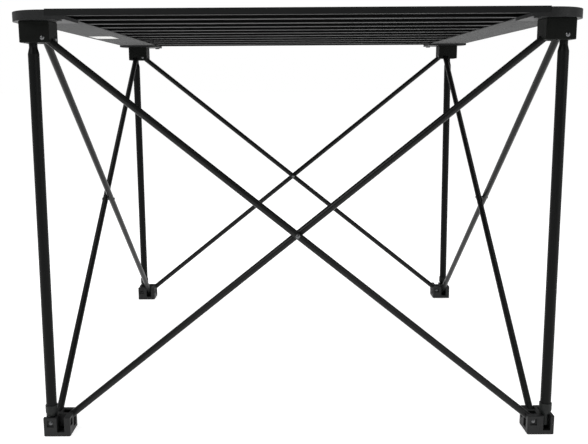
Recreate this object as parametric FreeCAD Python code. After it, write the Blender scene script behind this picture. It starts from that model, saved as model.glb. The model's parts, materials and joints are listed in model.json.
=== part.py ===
"""Folding side table: a roll-up slatted top on a square expanding scissor frame.

Millimetres, +Z up. The origin is on the floor at the middle of the table, and the
front of the table faces -Y. The frame has four corners, a (front left), b (front
right), c (back right) and d (back left). Each corner is the same set of parts, turned
a quarter turn from the one before it, so the corner parts are drawn once in the frame
of corner a, where +X runs along the front and +Y along the left side.
"""
import FreeCAD
import Part
import math
import os

from FreeCAD import Vector

# Overall size
TABLE_HEIGHT = 700.0
TOP_SIZE = 900.0
CORNER_PITCH = 815.0

# Scissor pivots: height of the two pivot planes, and their place in a corner block
UPPER_PIVOT_Z = 658.5
LOWER_PIVOT_Z = 22.5
PIVOT_OUT = 12.5
PLANE_OFFSET = 6.5

# Diagonal tubes and their rivets
TUBE_DIA = 12.0
TUBE_WALL = 1.2
TUBE_END = 7.0
RIVET_DIA = 5.0
RIVET_HEAD_DIA = 7.4
RIVET_HEAD = 1.6
RUNNING_FIT = 0.08
FIXED_FIT = 0.05

# Corner blocks
HUB_SIZE = 47.0
HUB_BOTTOM = 651.0
FOOT_SIZE = 45.0
FOOT_HEIGHT = 33.0
BLOCK_ROUND = 2.5
BLOCK_EDGE = 0.8
SLOT_WIDTH = 12.6
SLOT_END = 8.5
FOOT_SLOT_FLOOR = 7.5
ROOF_GAP = 0.5
RECESS_SIZE = 12.0
RECESS_DEPTH = 2.4

# Upright legs and the sockets that their lower ends stand in
LEG_DIA = 17.5
LEG_WALL = 1.3
LEG_TOP = (-6.0, -10.0)
LEG_FOOT = (-10.5, -10.0)
NECK_DIA = 13.0
NECK_BELOW_HUB = 7.0
NECK_TAPER = 10.0
NECK_INTO_HUB = 18.0
SOCKET_DIA = 20.5
SOCKET_TOP = 53.0
SOCKET_LIP = 35.0
SOCKET_BORE = 16.0
PLUG_DIA = 15.0
PLUG_LENGTH = 14.0
TONGUE_DIA = 12.2

# Roll-up top
SLATS = 11
SLAT_GAP = 0.6
SLAT_HEIGHT = 10.5
SLAT_WALL = 1.5
SLAT_LIP = 8.5
SLAT_EDGE = 1.2
STRAP_WIDTH = 90.0
STRAP_INSET = 2.0
STRAP_THICK = 1.2
STRAP_GAP = 1.2

# Corner brackets under the ends of the first and last slats
BRACKET_BOTTOM = 684.0
BRACKET_TOP = 698.8
BRACKET_EDGE = 1.2
BRACKET_LENGTH = 96.0
BRACKET_CAP = 66.0
BRACKET_RADIUS = 60.0
BRACKET_WALL = 2.5
BRACKET_GAP = 1.2

# Push rivet that fastens each end of the first and last slats to a bracket's shelf
BUTTON_DIA = 11.0
BUTTON_HEAD = 2.0
BUTTON_SHANK_DIA = 6.0
BUTTON_IN = (85.0, 7.0)

CLEAR = 0.3
CORNERS = "abcd"

HALF_PITCH = CORNER_PITCH / 2
HALF_TOP = TOP_SIZE / 2
SLAT_PITCH = TOP_SIZE / SLATS
SLAT_DEPTH = SLAT_PITCH - SLAT_GAP
SLAT_BOTTOM = TABLE_HEIGHT - SLAT_HEIGHT
HUB_TOP = BRACKET_BOTTOM - CLEAR
SHELF_TOP = SLAT_BOTTOM - 0.1
PIVOT_RUN = CORNER_PITCH - 2 * PIVOT_OUT
PIVOT_RISE = UPPER_PIVOT_Z - LOWER_PIVOT_Z
TUBE_LENGTH = math.hypot(PIVOT_RUN, PIVOT_RISE)
TUBE_ANGLE = math.degrees(math.atan2(PIVOT_RISE, PIVOT_RUN))

X_AXIS = Vector(1, 0, 0)
Y_AXIS = Vector(0, 1, 0)
Z_AXIS = Vector(0, 0, 1)
ORIGIN = Vector(0, 0, 0)


def block(x0, x1, y0, y1, z0, z1):
    """A box between two corners."""
    return Part.makeBox(x1 - x0, y1 - y0, z1 - z0, Vector(x0, y0, z0))


def rod(diameter, start, direction, length):
    """A solid round bar."""
    return Part.makeCylinder(diameter / 2, length, start, direction)


def edges_along(shape, axis, keep=lambda edge: True):
    """The straight edges of a shape that run along one axis."""
    found = []
    for edge in shape.Edges:
        if not isinstance(edge.Curve, Part.Line):
            continue
        if abs(edge.tangentAt(edge.FirstParameter).dot(axis)) > 0.999 and keep(edge):
            found.append(edge)
    return found


def corner_block(size, z0, z1):
    """The moulded block that hubs and feet start from, with rounded edges."""
    half = size / 2
    body = block(-half, half, -half, half, z0, z1)
    body = body.makeFillet(BLOCK_ROUND, edges_along(body, Z_AXIS))
    rims = [edge for edge in body.Edges if abs(edge.BoundBox.ZMax - edge.BoundBox.ZMin) < 0.01]
    return body.makeChamfer(BLOCK_EDGE, rims)


def rivet_head(point, direction):
    """A domed rivet head that stands on the point, facing against `direction`."""
    radius = RIVET_HEAD_DIA / 2
    ball = (radius ** 2 + RIVET_HEAD ** 2) / (2 * RIVET_HEAD)
    dome = Part.makeSphere(ball, point + direction * (ball - RIVET_HEAD))
    return dome.common(rod(RIVET_HEAD_DIA, point, direction * -1, 2 * RIVET_HEAD))


def rivet(point, direction, length):
    """A blind rivet, its head on the point and its shank running along `direction`."""
    shank = rod(RIVET_DIA, point, direction, length)
    return shank.fuse(rivet_head(point, direction)).removeSplitter()


def to_corner(shape, name):
    """Turn a corner-a shape to the named corner and move it there."""
    turned = shape.copy()
    turned.rotate(ORIGIN, Z_AXIS, 90 * CORNERS.index(name))
    x_side = 1 if name in "bc" else -1
    y_side = 1 if name in "cd" else -1
    turned.translate(Vector(x_side * HALF_PITCH, y_side * HALF_PITCH, 0))
    return turned


def hub_rivets():
    """Front tube, side tube and leg rivets of a hub, heads on the block's faces."""
    half = HUB_SIZE / 2
    z = UPPER_PIVOT_Z
    front = rivet(Vector(PIVOT_OUT, -half, z), Y_AXIS, half + 3.2)
    side = rivet(Vector(half, PIVOT_OUT, z), X_AXIS * -1, half + 3.2)
    leg = rivet(Vector(-half, LEG_TOP[1], z), X_AXIS, half + 2.8)
    return [front, side, leg]


def foot_rivets():
    """Front tube, side tube and socket rivets of a foot, heads down in their recesses."""
    half = FOOT_SIZE / 2 - RECESS_DEPTH
    z = LOWER_PIVOT_Z
    front = rivet(Vector(PIVOT_OUT, half, z), Y_AXIS * -1, half + 3.2)
    side = rivet(Vector(-half, PIVOT_OUT, z), X_AXIS, half + 3.2)
    leg = rivet(Vector(LEG_FOOT[0], -half, z), Y_AXIS, half - 3.5)
    return [front, side, leg]


def rivet_hole(start, direction, length):
    """The hole in a block that holds a rivet tight."""
    return rod(RIVET_DIA + 2 * FIXED_FIT, start, direction, length)


def tube_pocket():
    """Room in a hub for a tube that leaves along +X, from its open to its folded line.

    The roof runs just above the open tube, so that the block closes down round it.
    """
    gap = TUBE_DIA / 2 + ROOF_GAP
    lean = math.radians(TUBE_ANGLE)
    low = HUB_BOTTOM - 1
    back = PIVOT_OUT - SLOT_END
    out = HUB_SIZE / 2 + 1
    roof_x = PIVOT_OUT + gap * math.sin(lean)
    roof_z = UPPER_PIVOT_Z + gap * math.cos(lean)
    roof_end = roof_z - (out - roof_x) * math.tan(lean)
    outline = [(back, low), (back, UPPER_PIVOT_Z), (roof_x, roof_z), (out, roof_end), (out, low)]
    points = [Vector(x, -SLOT_WIDTH / 2, z) for x, z in outline]
    swing = Part.Face(Part.makePolygon(points + points[:1])).extrude(Vector(0, SLOT_WIDTH, 0))
    pivot = Vector(PIVOT_OUT, -SLOT_WIDTH / 2, UPPER_PIVOT_Z)
    return swing.fuse(rod(2 * SLOT_END, pivot, Y_AXIS, SLOT_WIDTH)).removeSplitter()


def hub():
    """Upper block: two tube pockets open below and inward, a leg bore and a spare pocket."""
    half = HUB_SIZE / 2
    out = half + 1
    wide = SLOT_WIDTH / 2
    low = HUB_BOTTOM - 1
    slot_top = UPPER_PIVOT_Z + SLOT_END
    z = UPPER_PIVOT_Z
    front_pocket = tube_pocket()
    front_pocket.translate(Vector(0, -PLANE_OFFSET, 0))
    side_pocket = tube_pocket()
    side_pocket.rotate(ORIGIN, Z_AXIS, 90)
    side_pocket.translate(Vector(PLANE_OFFSET, 0, 0))
    cuts = [
        front_pocket,
        side_pocket,
        block(-PIVOT_OUT - wide, -PIVOT_OUT + wide, PLANE_OFFSET - wide, out - 5, low, slot_top),
        rod(NECK_DIA + 0.4, Vector(*LEG_TOP, low), Z_AXIS, NECK_INTO_HUB + 1.5),
        rivet_hole(Vector(PIVOT_OUT, -out, z), Y_AXIS, out + 3.4),
        rivet_hole(Vector(out, PIVOT_OUT, z), X_AXIS * -1, out + 3.4),
        rivet_hole(Vector(-out, LEG_TOP[1], z), X_AXIS, out + 3.0),
    ]
    return corner_block(HUB_SIZE, HUB_BOTTOM, HUB_TOP).cut(cuts)


def foot():
    """Lower block: tube slots open above and inward, a slot for the leg socket that is
    open above and to the left, and a spare slot open to the front."""
    half = FOOT_SIZE / 2
    out = half + 1
    wide = SLOT_WIDTH / 2
    top = FOOT_HEIGHT + 1
    floor = FOOT_SLOT_FLOOR
    slot_back = PIVOT_OUT - SLOT_END
    z = LOWER_PIVOT_Z
    tongue_y = LEG_FOOT[1]
    tongue_back = LEG_FOOT[0] + TONGUE_DIA / 2 + CLEAR
    inset = half - RECESS_DEPTH
    side = RECESS_SIZE / 2
    cuts = [
        block(slot_back, out, PLANE_OFFSET - wide, PLANE_OFFSET + wide, floor, top),
        block(-PLANE_OFFSET - wide, -PLANE_OFFSET + wide, slot_back, out, floor, top),
        block(PLANE_OFFSET - wide, PLANE_OFFSET + wide, -out, -slot_back, floor, top),
        block(-out, tongue_back, tongue_y - wide, tongue_y + wide, floor, top),
        rivet_hole(Vector(PIVOT_OUT, out, z), Y_AXIS * -1, out + 3.4),
        rivet_hole(Vector(-out, PIVOT_OUT, z), X_AXIS, out + 3.4),
        rivet_hole(Vector(LEG_FOOT[0], -out, z), Y_AXIS, out - 3.3),
        rivet_hole(Vector(out, -PIVOT_OUT, z), X_AXIS * -1, half - 2),
        block(PIVOT_OUT - side, PIVOT_OUT + side, inset, out, z - side, z + side),
        block(-out, -inset, PIVOT_OUT - side, PIVOT_OUT + side, z - side, z + side),
        block(LEG_FOOT[0] - side, LEG_FOOT[0] + side, -out, -inset, z - side, z + side),
        block(inset, out, -PIVOT_OUT - side, -PIVOT_OUT + side, z - side, z + side),
    ]
    return corner_block(FOOT_SIZE, 0, FOOT_HEIGHT).cut(cuts)


def turned(profile):
    """Revolve a closed list of (radius, height) points about the Z axis."""
    points = [Vector(radius, 0, height) for radius, height in profile]
    face = Part.Face(Part.makePolygon(points + points[:1]))
    return face.revolve(ORIGIN, Z_AXIS, 360)


def on_leg_line(shape):
    """Lean a shape drawn up the Z axis onto the leg's line between foot and hub."""
    low = Vector(*LEG_FOOT, LOWER_PIVOT_Z)
    high = Vector(*LEG_TOP, UPPER_PIVOT_Z)
    lean = FreeCAD.Rotation(Z_AXIS, high - low)
    placed = shape.copy()
    placed.translate(Vector(0, 0, -LOWER_PIVOT_Z))
    placed.Placement = FreeCAD.Placement(low, lean).multiply(placed.Placement)
    return placed


def leg():
    """Upright tube with a swaged neck at the hub and a narrower plug at the socket."""
    tube = LEG_DIA / 2
    neck = NECK_DIA / 2
    plug = PLUG_DIA / 2
    shoulder = SOCKET_TOP + CLEAR
    neck_end = HUB_BOTTOM - NECK_BELOW_HUB
    taper_end = neck_end - NECK_TAPER
    top = HUB_BOTTOM + NECK_INTO_HUB
    profile = [
        (plug - LEG_WALL, shoulder - PLUG_LENGTH),
        (plug - 1, shoulder - PLUG_LENGTH),
        (plug, shoulder - PLUG_LENGTH + 1),
        (plug, shoulder),
        (tube, shoulder),
        (tube, taper_end),
        (neck, neck_end),
        (neck, top),
        (neck - LEG_WALL, top),
        (neck - LEG_WALL, neck_end),
        (tube - LEG_WALL, taper_end),
        (tube - LEG_WALL, shoulder + 8),
        (plug - LEG_WALL, shoulder + 4),
    ]
    body = on_leg_line(turned(profile))
    pin_start = Vector(-LEG_DIA, LEG_TOP[1], UPPER_PIVOT_Z)
    return body.cut(rivet_hole(pin_start, X_AXIS, 2 * LEG_DIA))


def leg_socket():
    """Cup that takes the leg's plug, with a tongue pinned down in the foot."""
    cup = SOCKET_DIA / 2
    tongue = TONGUE_DIA / 2
    bore = SOCKET_BORE / 2
    floor = SOCKET_TOP - PLUG_LENGTH - 2
    profile = [
        (0, LOWER_PIVOT_Z - 8),
        (tongue, LOWER_PIVOT_Z - 8),
        (tongue, FOOT_HEIGHT + CLEAR),
        (cup - 1.5, SOCKET_LIP),
        (cup, SOCKET_LIP + 6),
        (cup, SOCKET_TOP - 0.8),
        (cup - 0.8, SOCKET_TOP),
        (bore, SOCKET_TOP),
        (bore, floor),
        (0, floor),
    ]
    body = on_leg_line(turned(profile))
    pin_start = Vector(LEG_FOOT[0], -FOOT_SIZE, LOWER_PIVOT_Z)
    return body.cut(rivet_hole(pin_start, Y_AXIS, 2 * FOOT_SIZE))


def diagonal():
    """A riveted tube along X, centred, with its three rivet holes along Y."""
    half = TUBE_LENGTH / 2
    length = TUBE_LENGTH + 2 * TUBE_END
    tube = rod(TUBE_DIA, Vector(-half - TUBE_END, 0, 0), X_AXIS, length)
    slab = block(-half, half, -TUBE_DIA, TUBE_DIA, -TUBE_END, TUBE_END)
    for end in (-half, half):
        slab = slab.fuse(rod(2 * TUBE_END, Vector(end, -TUBE_DIA, 0), Y_AXIS, 2 * TUBE_DIA))
    tube = tube.common(slab.removeSplitter())
    bore = rod(TUBE_DIA - 2 * TUBE_WALL, Vector(-length, 0, 0), X_AXIS, 2 * length)
    holes = [
        rod(RIVET_DIA + 2 * RUNNING_FIT, Vector(x, -TUBE_DIA, 0), Y_AXIS, 2 * TUBE_DIA)
        for x in (-half, 0, half)
    ]
    return tube.cut([bore] + holes)


def placed_diagonal(side, falling):
    """A tube on one side of the square, leaning up or down along the walk round it.

    The falling tube starts at the near hub on the outer plane, and the rising tube
    starts at the near foot on the inner plane.
    """
    tube = diagonal()
    tube.rotate(ORIGIN, Y_AXIS, TUBE_ANGLE if falling else -TUBE_ANGLE)
    plane = -PLANE_OFFSET if falling else PLANE_OFFSET
    middle = (UPPER_PIVOT_Z + LOWER_PIVOT_Z) / 2
    tube.translate(Vector(HALF_PITCH, plane, middle))
    return to_corner(tube, side)


def cross_rivet(side):
    """The rivet where two diagonals cross, with a head at both ends."""
    reach = PLANE_OFFSET + TUBE_DIA / 2
    near = Vector(HALF_PITCH, -reach, (UPPER_PIVOT_Z + LOWER_PIVOT_Z) / 2)
    far = near + Y_AXIS * (2 * reach)
    heads = [rivet_head(near, Y_AXIS), rivet_head(far, Y_AXIS * -1)]
    return to_corner(rod(RIVET_DIA, near, Y_AXIS, 2 * reach).fuse(heads).removeSplitter(), side)


def slat_centre(index):
    """Y of the middle of a slat, counted from 1 at the front."""
    return -HALF_TOP + (index - 0.5) * SLAT_PITCH


def slat(index):
    """Extruded channel, open below, with a lip along each lower edge."""
    outer = SLAT_DEPTH / 2
    inner = outer - SLAT_WALL
    lip = outer - SLAT_LIP
    under = TABLE_HEIGHT - SLAT_WALL
    lip_top = SLAT_BOTTOM + SLAT_WALL
    ends = index in (1, SLATS)
    half = HALF_TOP - BRACKET_CAP - CLEAR if ends else HALF_TOP
    outline = [
        (-outer, SLAT_BOTTOM),
        (-lip, SLAT_BOTTOM),
        (-lip, lip_top),
        (-inner, lip_top),
        (-inner, under),
        (inner, under),
        (inner, lip_top),
        (lip, lip_top),
        (lip, SLAT_BOTTOM),
        (outer, SLAT_BOTTOM),
        (outer, TABLE_HEIGHT),
        (-outer, TABLE_HEIGHT),
    ]
    points = [Vector(-half, y, z) for y, z in outline]
    body = Part.Face(Part.makePolygon(points + points[:1])).extrude(Vector(2 * half, 0, 0))
    shoulders = edges_along(
        body, X_AXIS, lambda edge: edge.BoundBox.ZMin > TABLE_HEIGHT - 0.01)
    body = body.makeFillet(SLAT_EDGE, shoulders)
    body.translate(Vector(0, slat_centre(index), 0))
    return body


def strap_pair(index):
    """The two fabric strap lengths under one slat, at its left and right ends."""
    y0 = slat_centre(index) - (SLAT_PITCH - STRAP_GAP) / 2
    y1 = slat_centre(index) + (SLAT_PITCH - STRAP_GAP) / 2
    outer = HALF_TOP - STRAP_INSET
    inner = outer - STRAP_WIDTH
    low = SLAT_BOTTOM - STRAP_THICK
    return [
        block(-outer, -inner, y0, y1, low, SLAT_BOTTOM),
        block(inner, outer, y0, y1, low, SLAT_BOTTOM),
    ]


def bracket_outline(z, inset):
    """Corner outline at one height: a rectangle with its outer corner rounded."""
    out = -HALF_TOP + inset
    inner_x = -HALF_TOP + BRACKET_CAP - inset
    inner_y = -HALF_TOP + SLAT_PITCH - BRACKET_GAP - inset
    radius = BRACKET_RADIUS - inset
    bend = radius * (1 - math.sqrt(0.5))
    start = Vector(out + radius, out, z)
    middle = Vector(out + bend, out + bend, z)
    end = Vector(out, out + radius, z)
    arc = Part.Arc(start, middle, end).toShape()
    walls = Part.makePolygon(
        [end, Vector(out, inner_y, z), Vector(inner_x, inner_y, z), Vector(inner_x, out, z), start])
    return Part.Face(Part.Wire([arc] + walls.Edges))


def mirrored(shape, x_side, y_side):
    """Take a shape drawn at the front left corner to the corner on the given sides."""
    if x_side > 0:
        shape = shape.mirror(ORIGIN, X_AXIS)
    if y_side > 0:
        shape = shape.mirror(ORIGIN, Y_AXIS)
    return shape


def bracket():
    """Corner cap, hollow above its floor, with a shelf that the slat's end lies on."""
    height = BRACKET_TOP - BRACKET_BOTTOM
    shell = bracket_outline(BRACKET_BOTTOM, 0).extrude(Vector(0, 0, height))
    rim = [edge for edge in shell.Edges if edge.BoundBox.ZMin > BRACKET_TOP - 0.01]
    shell = shell.makeFillet(BRACKET_EDGE, rim)
    hollow = bracket_outline(BRACKET_BOTTOM + BRACKET_WALL, BRACKET_WALL).extrude(
        Vector(0, 0, height - 2 * BRACKET_WALL))
    x0 = -HALF_TOP + BRACKET_CAP - BRACKET_WALL
    x1 = -HALF_TOP + BRACKET_LENGTH
    y1 = -HALF_TOP + SLAT_PITCH - BRACKET_GAP
    shelf = block(x0, x1, -HALF_TOP, y1, BRACKET_BOTTOM, SHELF_TOP)
    bore = rod(BUTTON_SHANK_DIA + 2 * FIXED_FIT, button_centre(BRACKET_BOTTOM - 1), Z_AXIS, 10)
    return shell.cut(hollow).fuse(shelf).removeSplitter().cut(bore)


def button_centre(z):
    """The point on the axis of a bracket's push rivet at one height."""
    return Vector(-HALF_TOP + BUTTON_IN[0], -HALF_TOP + BUTTON_IN[1], z)


def button():
    """Push rivet through a bracket's shelf, its flat head under the shelf."""
    head = rod(BUTTON_DIA, button_centre(BRACKET_BOTTOM), Z_AXIS * -1, BUTTON_HEAD)
    shank = rod(BUTTON_SHANK_DIA, button_centre(BRACKET_BOTTOM), Z_AXIS, SHELF_TOP - BRACKET_BOTTOM)
    return head.fuse(shank).removeSplitter()


def frame_nodes():
    """Every node of the folding frame, by name."""
    nodes = {}
    for name in CORNERS:
        nodes["foot_" + name] = [foot()]
        nodes["foot_rivets_" + name] = foot_rivets()
        nodes["leg_socket_" + name] = [leg_socket()]
        nodes["leg_" + name] = [leg()]
        nodes["hub_" + name] = [hub()]
        nodes["hub_rivets_" + name] = hub_rivets()
    for key, solids in nodes.items():
        nodes[key] = [to_corner(solid, key[-1]) for solid in solids]
    for side, start in zip(("front", "right", "back", "left"), CORNERS):
        nodes["diagonal_" + side + "_outer"] = [placed_diagonal(start, True)]
        nodes["diagonal_" + side + "_inner"] = [placed_diagonal(start, False)]
        nodes["cross_rivet_" + side] = [cross_rivet(start)]
    return nodes


def top_nodes():
    """Every node of the roll-up top, by name."""
    nodes = {}
    for index in range(1, SLATS + 1):
        nodes["slat_%02d" % index] = [slat(index)]
    for index in range(2, SLATS):
        nodes["strap_%02d" % index] = strap_pair(index)
    for name, x_side, y_side in (("a", -1, -1), ("b", 1, -1), ("c", 1, 1), ("d", -1, 1)):
        solids = (bracket(), button())
        nodes["bracket_" + name] = [mirrored(solid, x_side, y_side) for solid in solids]
    return nodes


def main():
    """Build every node and write it to its own STEP file."""
    os.makedirs("parts", exist_ok=True)
    for name, solids in {**frame_nodes(), **top_nodes()}.items():
        shape = solids[0] if len(solids) == 1 else Part.makeCompound(solids)
        if not shape.isValid():
            raise ValueError(name + " is not a valid shape")
        shape.exportStep("parts/" + name + ".step")


main()
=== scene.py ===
"""Looks of the folding side table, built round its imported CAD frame.

Metres, +Z up, front towards -Y, as in the CAD. The metal and plastic nodes are kept
and given procedural materials. The strap solids are replaced with woven sheets, one
across each joint between two slats, and the left strap carries a blank sewn label.
"""

import json
import math

import bpy
from mathutils import Matrix, Vector


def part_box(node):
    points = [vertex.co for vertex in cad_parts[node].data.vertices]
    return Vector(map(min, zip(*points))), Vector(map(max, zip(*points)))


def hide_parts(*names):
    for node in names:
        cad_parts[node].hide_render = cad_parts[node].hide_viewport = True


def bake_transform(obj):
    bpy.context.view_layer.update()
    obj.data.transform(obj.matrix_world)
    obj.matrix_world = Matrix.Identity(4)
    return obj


SLATS = 11

# Straps: the pitch of the yarns, the faces across and along each sheet, and how far
# the end sheets stay short of the brackets
STRAP_WEAVE = 0.0011
STRAP_COLUMNS = 30
STRAP_ROWS = 28
STRAP_END_GAP = 0.0003

# The inner edge of a strap lies this far outboard of the brackets' inner edges
STRAP_INSET = 0.004

# Selvedges: the outer columns of faces, which hang this much lower than the web between
SELVEDGE_COLUMNS = 1
SELVEDGE_RISE = 0.00025

# Label: it hangs a hair under the left strap, sewn all round inside its hem
LABEL_SIZE = (0.047, 0.076)
LABEL_CENTRE = (-0.4145, 0.053)
LABEL_THICK = 0.0003
LABEL_GAP = 0.00002
LABEL_HEM = 0.0022
LABEL_COLUMNS = 24
LABEL_ROWS = 30
LABEL_WEAVE = 0.0005

# Stitches: beads whose profile is given as shares of the length along and of the radius
STITCH_PITCH = 0.0030
STITCH_LENGTH = 0.0022
STITCH_RADIUS = 0.00022
STITCH_SIDES = 6
STITCH_PROFILE = ((-0.5, 0.4), (-0.35, 1.0), (0.35, 1.0), (0.5, 0.4))

# Edge wear and painted edge highlight: the cosine between the true and the rounded normal where it
# starts and is full
EDGE_WEAR_AND_HIGHLIGHT_STARTS = 0.985
EDGE_WEAR_AND_HIGHLIGHT_FULL = 0.80

# Camera: place, turn in radians, lens and sensor in millimetres, shift in sensor widths
CAMERA_AT = (-0.01787, -1.6060, 0.58293)
YAW = -0.0032
PITCH = 0.1606
ROLL = -0.0058
LENS = 45.530204
SENSOR = 36.0
LENS_SHIFT = (0.01622449, -0.02712585)

# Floor: half its width, then where along Y its glow starts and stops changing, and both strengths
FLOOR_REACH = 60.0
GLOW_FROM, GLOW_TO = -2.2, -0.5
GLOW_FRONT, GLOW_BACK = 0.64, 0.82

# Sky: the Y of the directions between which its light changes, and both strengths
SKY_FROM, SKY_TO = -0.5, 0.3
SKY_FRONT, SKY_BACK = 0.03, 0.58

# Lamps: name, place, the point it faces, width and height, and watts
SOFTBOXES = (
    ("key", (-1.9, -2.3, 2.3), (0, 0, 0.3), (1.2, 1.6), 32),
    ("fill", (2.3, -2.0, 1.2), (0, 0, 0.3), (1.0, 1.8), 14),
    ("overhead", (0, 0.2, 3.4), (0, 0, 0.7), (2.6, 2.6), 40),
)


# ---------------------------------------------------------------- node helpers

def set_range(node, low, high, to_low, to_high):
    """Make a Map Range node turn the span low..high into to_low..to_high."""
    limits = {"From Min": low, "From Max": high, "To Min": to_low, "To Max": to_high}
    for name, value in limits.items():
        node.inputs[name].default_value = value


class Nodes:
    """A material's node tree, with one short call for each kind of node."""

    def __init__(self, name):
        self.material = bpy.data.materials.new(name)
        self.material.use_nodes = True
        self.tree = self.material.node_tree
        self.tree.nodes.clear()
        self.shader = self.add("ShaderNodeBsdfPrincipled")
        output = self.add("ShaderNodeOutputMaterial")
        self.link(self.shader.outputs["BSDF"], output.inputs["Surface"])
        self.place = self.add("ShaderNodeTexCoord").outputs["Object"]

    def add(self, kind, **settings):
        node = self.tree.nodes.new(kind)
        for key, value in settings.items():
            setattr(node, key, value)
        return node

    def link(self, source, target):
        self.tree.links.new(source, target)

    def feed(self, socket, value):
        """Link the socket to another, or give it a constant."""
        if isinstance(value, bpy.types.NodeSocket):
            self.link(value, socket)
        else:
            socket.default_value = value

    def noise(self, scale, detail=2.0, rough=0.5, stretch=None):
        """Noise with features about 1/scale metres across, longer on axes stretched below 1."""
        node = self.add("ShaderNodeTexNoise")
        node.inputs["Scale"].default_value = scale
        node.inputs["Detail"].default_value = detail
        node.inputs["Roughness"].default_value = rough
        place = self.place
        if stretch:
            mapping = self.add("ShaderNodeMapping")
            mapping.inputs["Scale"].default_value = stretch
            self.link(place, mapping.inputs["Vector"])
            place = mapping.outputs["Vector"]
        self.link(place, node.inputs["Vector"])
        return node.outputs["Fac"]

    def math(self, operation, a, b=0.0):
        node = self.add("ShaderNodeMath", operation=operation)
        self.feed(node.inputs[0], a)
        self.feed(node.inputs[1], b)
        return node.outputs[0]

    def spread(self, value, low, high, to_low=0.0, to_high=1.0):
        """Map a value's span low..high onto to_low..to_high, clamped."""
        node = self.add("ShaderNodeMapRange")
        set_range(node, low, high, to_low, to_high)
        self.link(value, node.inputs["Value"])
        return node.outputs["Result"]

    def mix(self, amount, a, b):
        """Colour a where the amount is 0, colour b where it is 1."""
        node = self.add("ShaderNodeMix", data_type="RGBA")
        self.feed(node.inputs["Factor"], amount)
        for socket, colour in ((node.inputs[6], a), (node.inputs[7], b)):
            self.feed(socket, colour if isinstance(colour, bpy.types.NodeSocket) else (*colour, 1.0))
        return node.outputs[2]

    def tint(self, shade, mask, amount, colour):
        """The shade, moved towards a colour by as much as `amount` where the mask is 1."""
        return self.mix(self.math("MULTIPLY", mask, amount), shade, colour)

    def axes(self):
        node = self.add("ShaderNodeSeparateXYZ")
        self.link(self.place, node.inputs[0])
        return node.outputs

    def edges(self, radius):
        """0 on flats, rising to 1 along sharp edges: partly where a coating thins, partly a painted
        edge highlight.
        """
        bevel = self.add("ShaderNodeBevel", samples=4)
        bevel.inputs["Radius"].default_value = radius
        geometry = self.add("ShaderNodeNewGeometry")
        cosine = self.add("ShaderNodeVectorMath", operation="DOT_PRODUCT")
        self.link(bevel.outputs[0], cosine.inputs[0])
        self.link(geometry.outputs["Normal"], cosine.inputs[1])
        return self.spread(cosine.outputs["Value"], EDGE_WEAR_AND_HIGHLIGHT_STARTS, EDGE_WEAR_AND_HIGHLIGHT_FULL)

    def bump(self, height, depth, strength, over=None):
        """A normal roughened by the height, on top of another bump where one is given."""
        node = self.add("ShaderNodeBump")
        node.inputs["Distance"].default_value = depth
        node.inputs["Strength"].default_value = strength
        self.link(height, node.inputs["Height"])
        if over:
            self.link(over, node.inputs["Normal"])
        return node.outputs["Normal"]

    def surface(self, colour, roughness, normal=None, **constants):
        """Feed the shader and hand back the material. Constants go straight onto sockets."""
        sockets = self.shader.inputs
        self.feed(sockets["Base Color"], colour)
        self.feed(sockets["Roughness"], roughness)
        if normal:
            self.link(normal, sockets["Normal"])
        for name, value in constants.items():
            sockets[name.replace("_", " ")].default_value = value
        return self.material


def scaled(colour, factor):
    return tuple(channel * factor for channel in colour)


# ------------------------------------------------------------------- materials

def powder_coat(name, colour, roughness, wear_and_highlight, specular, stretch=None):
    """Satin powder coat: orange peel, cloudy gloss, faint handling marks, edges lightened partly as
    worn coat and partly as a painted highlight.
    """
    nodes = Nodes(name)
    cloud = nodes.noise(scale=7.0, detail=3.0)
    marks = nodes.noise(scale=55.0, detail=5.0, rough=0.65, stretch=stretch)
    scuffs = nodes.spread(marks, 0.60, 0.74)
    shade = nodes.mix(nodes.spread(cloud, 0.3, 0.7), scaled(colour, 0.86), scaled(colour, 1.16))
    shade = nodes.tint(shade, scuffs, 0.30, scaled(wear_and_highlight, 0.5))
    # Edges lightened: partly worn coat, partly a painted highlight along each edge.
    shade = nodes.tint(shade, nodes.edges(radius=0.0006), 0.45, wear_and_highlight)
    gloss = nodes.spread(cloud, 0.25, 0.75, to_low=roughness - 0.05, to_high=roughness + 0.06)
    gloss = nodes.math("ADD", gloss, nodes.math("MULTIPLY", scuffs, 0.10))
    peel = nodes.bump(nodes.noise(scale=620.0), depth=0.00007, strength=0.5)
    grit = nodes.bump(nodes.noise(scale=2600.0, detail=1.0), depth=0.000025, strength=0.4, over=peel)
    return nodes.surface(shade, gloss, grit, Specular_IOR_Level=specular)


def moulded(name, colour, roughness, wear_and_highlight, specular):
    """Moulded plastic: spark-eroded grain, flow clouding, edges lightened partly as burnish and partly
    as a painted highlight.
    """
    nodes = Nodes(name)
    cloud = nodes.noise(scale=24.0, detail=3.0)
    flow = nodes.noise(scale=90.0, stretch=(1.0, 1.0, 0.25))
    shade = nodes.mix(nodes.spread(cloud, 0.3, 0.7), scaled(colour, 0.82), scaled(colour, 1.2))
    shade = nodes.tint(shade, nodes.spread(flow, 0.55, 0.8), 0.25, scaled(colour, 1.6))
    # Edges lightened: partly burnish, partly a painted highlight along each edge.
    shade = nodes.tint(shade, nodes.edges(radius=0.0007), 0.5, wear_and_highlight)
    gloss = nodes.spread(flow, 0.3, 0.75, to_low=roughness - 0.06, to_high=roughness + 0.07)
    grain = nodes.bump(nodes.noise(scale=1900.0, detail=3.0, rough=0.6), depth=0.00006, strength=0.6)
    ripple = nodes.bump(flow, depth=0.0002, strength=0.25, over=grain)
    return nodes.surface(shade, gloss, ripple, Specular_IOR_Level=specular)


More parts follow.
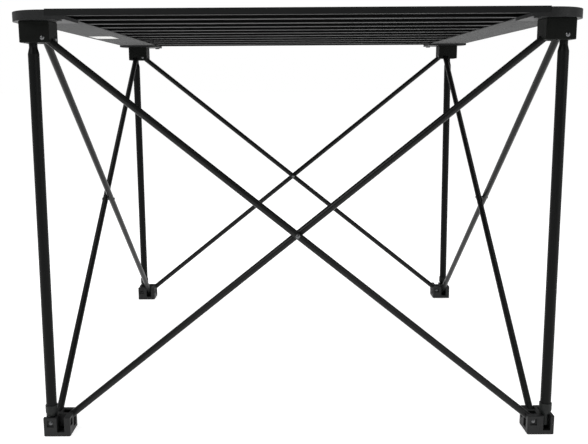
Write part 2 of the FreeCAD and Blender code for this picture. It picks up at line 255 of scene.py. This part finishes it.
def steel(name):
    """Darkened rivet steel, satin, a little dull in places."""
    nodes = Nodes(name)
    tarnish = nodes.spread(nodes.noise(scale=700.0, detail=4.0, rough=0.6), 0.35, 0.7)
    shade = nodes.mix(tarnish, (0.16, 0.163, 0.167), (0.09, 0.092, 0.094))
    gloss = nodes.spread(nodes.noise(scale=2400.0), 0.3, 0.7, to_low=0.20, to_high=0.36)
    pits = nodes.bump(nodes.noise(scale=3600.0, detail=1.0), depth=0.00002, strength=0.5)
    return nodes.surface(shade, gloss, pits, Metallic=1.0)


def weave(nodes, pitch):
    """Height of a plain weave in the XY plane, 0 to 1, and which yarn is over, 0 or 1."""
    waves = []
    for axis in nodes.axes()[:2]:
        waves.append(nodes.math("SINE", nodes.math("MULTIPLY", axis, math.pi / pitch)))
    cross = nodes.math("MULTIPLY", *waves)
    height = nodes.math("SQRT", nodes.math("ABSOLUTE", cross))
    return height, nodes.spread(cross, -0.4, 0.4)


def webbing(name, colour, pitch):
    """Woven polyester: raised yarns, warp and weft a shade apart, painted shade in the valleys between
    yarns, pale clouding.
    """
    nodes = Nodes(name)
    height, over = weave(nodes, pitch)
    yarn = nodes.mix(over, scaled(colour, 0.90), scaled(colour, 1.10))
    # Painted shade: the colour darkens in the low valleys between the yarns.
    valley_shade = nodes.spread(height, 0.55, 0.1)
    shade = nodes.tint(yarn, valley_shade, 0.55, scaled(colour, 0.45))
    cloud = nodes.spread(nodes.noise(scale=16.0, detail=4.0), 0.3, 0.7)
    shade = nodes.tint(shade, cloud, 0.22, scaled(colour, 1.22))
    fibres = nodes.noise(scale=5200.0)
    gloss = nodes.spread(fibres, 0.3, 0.7, to_low=0.80, to_high=0.93)
    yarns = nodes.bump(height, depth=0.00025, strength=0.8)
    fuzz = nodes.bump(fibres, depth=0.00005, strength=0.5, over=yarns)
    return nodes.surface(shade, gloss, fuzz, Specular_IOR_Level=0.25, Sheen_Weight=0.08,
                         Sheen_Roughness=0.5)


def label_cloth(name):
    """Smooth white satin with a fine weave and a slight yellowing."""
    nodes = Nodes(name)
    height, over = weave(nodes, LABEL_WEAVE)
    shade = nodes.mix(over, (0.70, 0.70, 0.69), (0.78, 0.78, 0.77))
    yellowing = nodes.spread(nodes.noise(scale=70.0, detail=3.0), 0.5, 0.9)
    shade = nodes.mix(yellowing, shade, (0.64, 0.62, 0.58))
    gloss = nodes.spread(nodes.noise(scale=300.0), 0.3, 0.7, to_low=0.5, to_high=0.65)
    threads = nodes.bump(height, depth=0.00008, strength=0.6)
    return nodes.surface(shade, gloss, threads, Specular_IOR_Level=0.3)


def paint_frame(frame):
    """Give every CAD node the procedural material of its slot."""
    materials = {
        # Each wear colour tints the scuffs and the edges; on the edges it is partly a painted
        # highlight.
        "slat_aluminium": powder_coat(
            "slat_coat", colour=(0.0081, 0.0086, 0.0087), roughness=0.52,
            wear_and_highlight=(0.04, 0.041, 0.044), specular=0.13, stretch=(0.08, 1.0, 1.0)),
        "brace_tube": powder_coat(
            "brace_coat", colour=(0.0110, 0.0114, 0.0112), roughness=0.30,
            wear_and_highlight=(0.044, 0.044, 0.045), specular=0.15),
        "leg_tube": powder_coat(
            "leg_coat", colour=(0.0028, 0.0033, 0.0031), roughness=0.42,
            wear_and_highlight=(0.03, 0.032, 0.031), specular=0.12, stretch=(1.0, 1.0, 0.10)),
        "hub_plastic": moulded(
            "hub_nylon", colour=(0.0050, 0.0056, 0.0049), roughness=0.50,
            wear_and_highlight=(0.020, 0.021, 0.020), specular=0.08),
        "foot_plastic": moulded(
            "foot_nylon", colour=(0.0117, 0.0121, 0.0124), roughness=0.58,
            wear_and_highlight=(0.075, 0.078, 0.08), specular=0.28),
        "socket_plastic": moulded(
            "socket_nylon", colour=(0.0085, 0.0100, 0.0094), roughness=0.52,
            wear_and_highlight=(0.04, 0.043, 0.042), specular=0.25),
        "bracket_plastic": moulded(
            "bracket_nylon", colour=(0.0128, 0.0134, 0.0136), roughness=0.48,
            wear_and_highlight=(0.055, 0.057, 0.058), specular=0.20),
        "strap_fabric": webbing("strap_webbing", colour=(0.048, 0.049, 0.049), pitch=STRAP_WEAVE),
        "rivet_steel": steel("rivet_steel_dark"),
    }
    for part in frame["record"]["subparts"]:
        mesh = frame["nodes"][part["node"]].data
        mesh.materials.clear()
        mesh.materials.append(materials[part["material_slot"]])
    return materials


# ---------------------------------------------------------------------- straps

def new_piece(name, points, faces, material):
    """A mesh object of its own in the scene."""
    mesh = bpy.data.meshes.new(name)
    mesh.from_pydata(points, [], faces)
    mesh.validate()
    mesh.materials.append(material)
    piece = bpy.data.objects.new(name, mesh)
    bpy.context.scene.collection.objects.link(piece)
    return piece


def sheet_mesh(name, low, high, columns, rows, material, thin=0.0):
    """A closed cloth between two corners, thinner by `thin` between its selvedges."""
    grid = []
    for z, rise in ((low[2], thin), (high[2], 0.0)):
        for row in range(rows + 1):
            for column in range(columns + 1):
                x = low[0] + column / columns * (high[0] - low[0])
                y = low[1] + row / rows * (high[1] - low[1])
                inside = SELVEDGE_COLUMNS < column < columns - SELVEDGE_COLUMNS
                grid.append((x, y, z + rise * inside))
    layer = (columns + 1) * (rows + 1)

    def at(column, row, top):
        return top * layer + row * (columns + 1) + column

    faces = []
    for row in range(rows):
        for column in range(columns):
            ring = [(column, row), (column, row + 1), (column + 1, row + 1), (column + 1, row)]
            faces.append([at(*corner, top=0) for corner in ring])
            faces.append([at(*corner, top=1) for corner in reversed(ring)])
    rim = [(column, 0) for column in range(columns)]
    rim += [(columns, row) for row in range(rows)]
    rim += [(column, rows) for column in range(columns, 0, -1)]
    rim += [(0, row) for row in range(rows, 0, -1)]
    for here, there in zip(rim, rim[1:] + rim[:1]):
        faces.append([at(*here, top=0), at(*there, top=0), at(*there, top=1), at(*here, top=1)])
    return new_piece(name, grid, faces, material)


def stitches(start, end):
    """Points and faces of a row of stitches from start to end, each a small bead."""
    points, faces = [], []
    run = Vector(end) - Vector(start)
    along = run.normalized()
    upward = Vector((0, 0, 1))
    across = upward.cross(along)
    count = max(1, round(run.length / STITCH_PITCH))
    for number in range(count):
        middle = Vector(start) + run * ((number + 0.5) / count)
        first = len(points)
        for shift, swell in STITCH_PROFILE:
            for corner in range(STITCH_SIDES):
                turn = math.radians(360 / STITCH_SIDES * corner)
                side = across * math.cos(turn) + upward * math.sin(turn)
                points.append(middle + along * (shift * STITCH_LENGTH) + side * (STITCH_RADIUS * swell))
        last = len(points) - STITCH_SIDES
        for ring in range(first, last, STITCH_SIDES):
            for corner in range(STITCH_SIDES):
                here, there = ring + corner, ring + (corner + 1) % STITCH_SIDES
                faces.append([here, there, there + STITCH_SIDES, here + STITCH_SIDES])
        faces.append([first + corner for corner in reversed(range(STITCH_SIDES))])
        faces.append([last + corner for corner in range(STITCH_SIDES)])
    return points, faces


def slat_node(index):
    return "slat_%02d" % index


def hinge_y(index):
    """Y of the joint between a slat and the one behind it."""
    return (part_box(slat_node(index))[1].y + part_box(slat_node(index + 1))[0].y) / 2


def strap_span(index):
    """Y where the strap piece across one joint begins and ends."""
    if index == 1:
        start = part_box("bracket_a")[1].y + STRAP_END_GAP
    else:
        start = (hinge_y(index - 1) + hinge_y(index)) / 2
    if index == SLATS - 1:
        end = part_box("bracket_d")[0].y - STRAP_END_GAP
    else:
        end = (hinge_y(index) + hinge_y(index + 1)) / 2
    return start, end


def build_straps(material):
    """Ten flat sheets a side, each across one joint between two slats."""
    low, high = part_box("strap_05")
    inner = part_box("bracket_a")[1].x - STRAP_INSET
    spans = {"left": (low.x, inner), "right": (-inner, high.x)}
    for side, (x0, x1) in spans.items():
        for index in range(1, SLATS):
            y0, y1 = strap_span(index)
            piece = sheet_mesh("strap_%s_%02d" % (side, index), (x0, y0, low.z), (x1, y1, high.z),
                               STRAP_COLUMNS, STRAP_ROWS, material, thin=SELVEDGE_RISE)
            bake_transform(piece)
            if index > 1:
                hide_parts("strap_%02d" % index)


def build_label(cloth, thread):
    """The blank label sewn under the left strap, across the joint behind the middle slat."""
    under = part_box("strap_05")[0].z + SELVEDGE_RISE
    low = [LABEL_CENTRE[axis] - LABEL_SIZE[axis] / 2 for axis in (0, 1)] + [under - LABEL_THICK]
    high = [LABEL_CENTRE[axis] + LABEL_SIZE[axis] / 2 for axis in (0, 1)] + [under - LABEL_GAP]
    patch = sheet_mesh("label_patch", low, high, LABEL_COLUMNS, LABEL_ROWS, cloth)
    x0, x1 = low[0] + LABEL_HEM, high[0] - LABEL_HEM
    y0, y1 = low[1] + LABEL_HEM, high[1] - LABEL_HEM
    points, faces = [], []
    seam = [(x0, y0), (x1, y0), (x1, y1), (x0, y1)]
    for start, end in zip(seam, seam[1:] + seam[:1]):
        row_points, row_faces = stitches((*start, low[2]), (*end, low[2]))
        faces += [[len(points) + corner for corner in face] for face in row_faces]
        points += row_points
    sewing = new_piece("label_stitching", points, faces, thread)
    for piece in (patch, sewing):
        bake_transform(piece)


# ----------------------------------------------------------------------- stage

def build_camera():
    """The camera, turned by yaw, pitch and roll from looking along +Y."""
    ahead = Vector((math.sin(YAW) * math.cos(PITCH), math.cos(YAW) * math.cos(PITCH), -math.sin(PITCH)))
    level = Vector((math.cos(YAW), -math.sin(YAW), 0.0))
    upright = level.cross(ahead)
    right = level * math.cos(ROLL) + upright * math.sin(ROLL)
    up = upright * math.cos(ROLL) - level * math.sin(ROLL)
    data = bpy.data.cameras.new("camera")
    data.sensor_fit = "HORIZONTAL"
    data.sensor_width = SENSOR
    data.lens = LENS
    data.shift_x, data.shift_y = LENS_SHIFT
    camera = bpy.data.objects.new("camera", data)
    turn = Matrix((right, up, -ahead)).transposed().to_4x4()
    camera.matrix_world = Matrix.Translation(CAMERA_AT) @ turn
    bpy.context.scene.collection.objects.link(camera)
    bpy.context.scene.camera = camera


def build_floor():
    """A plain pale floor that runs out of sight, glowing softly and a little dimmer in front."""
    signs = ((-1, -1), (1, -1), (1, 1), (-1, 1))
    corners = [(x * FLOOR_REACH, y * FLOOR_REACH, 0) for x, y in signs]
    nodes = Nodes("floor_paint")
    cloud = nodes.spread(nodes.noise(scale=1.5), 0.3, 0.7)
    tone = nodes.mix(cloud, (0.84, 0.84, 0.84), (0.87, 0.87, 0.87))
    glow = nodes.spread(nodes.axes()[1], GLOW_FROM, GLOW_TO, to_low=GLOW_FRONT, to_high=GLOW_BACK)
    nodes.link(glow, nodes.shader.inputs["Emission Strength"])
    paint = nodes.surface(tone, roughness=0.9, Specular_IOR_Level=0.0,
                          Emission_Color=(1.0, 1.0, 1.0, 1.0))
    new_piece("floor", corners, [(0, 1, 2, 3)], paint)


def softbox(name, place, towards, size, power):
    data = bpy.data.lights.new(name, "AREA")
    data.shape = "RECTANGLE"
    data.size, data.size_y = size
    data.energy = power
    lamp = bpy.data.objects.new(name, data)
    lamp.location = place
    lamp.rotation_mode = "QUATERNION"
    lamp.rotation_quaternion = (Vector(towards) - Vector(place)).to_track_quat("-Z", "Y")
    bpy.context.scene.collection.objects.link(lamp)


def build_sky():
    """White all round to the eye, casting more light from behind than from the front."""
    sky = bpy.data.worlds.new("studio")
    bpy.context.scene.world = sky
    sky.use_nodes = True
    tree = sky.node_tree
    tree.nodes.clear()
    link = tree.links.new
    place, split, ramp, cast, seen, path, choice, output = (
        tree.nodes.new("ShaderNode" + kind) for kind in (
            "TexCoord", "SeparateXYZ", "MapRange", "Background", "Background",
            "LightPath", "MixShader", "OutputWorld"))
    link(place.outputs["Generated"], split.inputs[0])
    link(split.outputs["Y"], ramp.inputs["Value"])
    set_range(ramp, SKY_FROM, SKY_TO, SKY_FRONT, SKY_BACK)
    link(ramp.outputs["Result"], cast.inputs["Strength"])
    seen.inputs["Strength"].default_value = 1.0
    seen.inputs["Color"].default_value = (1.0, 1.0, 1.0, 1.0)
    link(path.outputs["Is Camera Ray"], choice.inputs[0])
    link(cast.outputs[0], choice.inputs[1])
    link(seen.outputs[0], choice.inputs[2])
    link(choice.outputs[0], output.inputs["Surface"])


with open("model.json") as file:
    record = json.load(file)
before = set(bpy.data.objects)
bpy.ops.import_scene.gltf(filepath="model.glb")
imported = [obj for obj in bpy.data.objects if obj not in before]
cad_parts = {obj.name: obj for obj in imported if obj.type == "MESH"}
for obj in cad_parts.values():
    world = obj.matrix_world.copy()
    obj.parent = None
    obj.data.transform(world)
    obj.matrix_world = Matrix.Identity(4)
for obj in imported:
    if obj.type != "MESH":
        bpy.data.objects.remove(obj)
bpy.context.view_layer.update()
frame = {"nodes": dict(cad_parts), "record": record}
materials = paint_frame(frame)
build_straps(materials["strap_fabric"])
thread = webbing("label_thread", colour=(0.60, 0.60, 0.59), pitch=STITCH_RADIUS)
build_label(label_cloth("label_satin"), thread)
build_floor()
build_sky()
for lamp in SOFTBOXES:
    softbox(*lamp)
build_camera()
bpy.context.scene.view_settings.view_transform = "Standard"
bpy.context.view_layer.update()
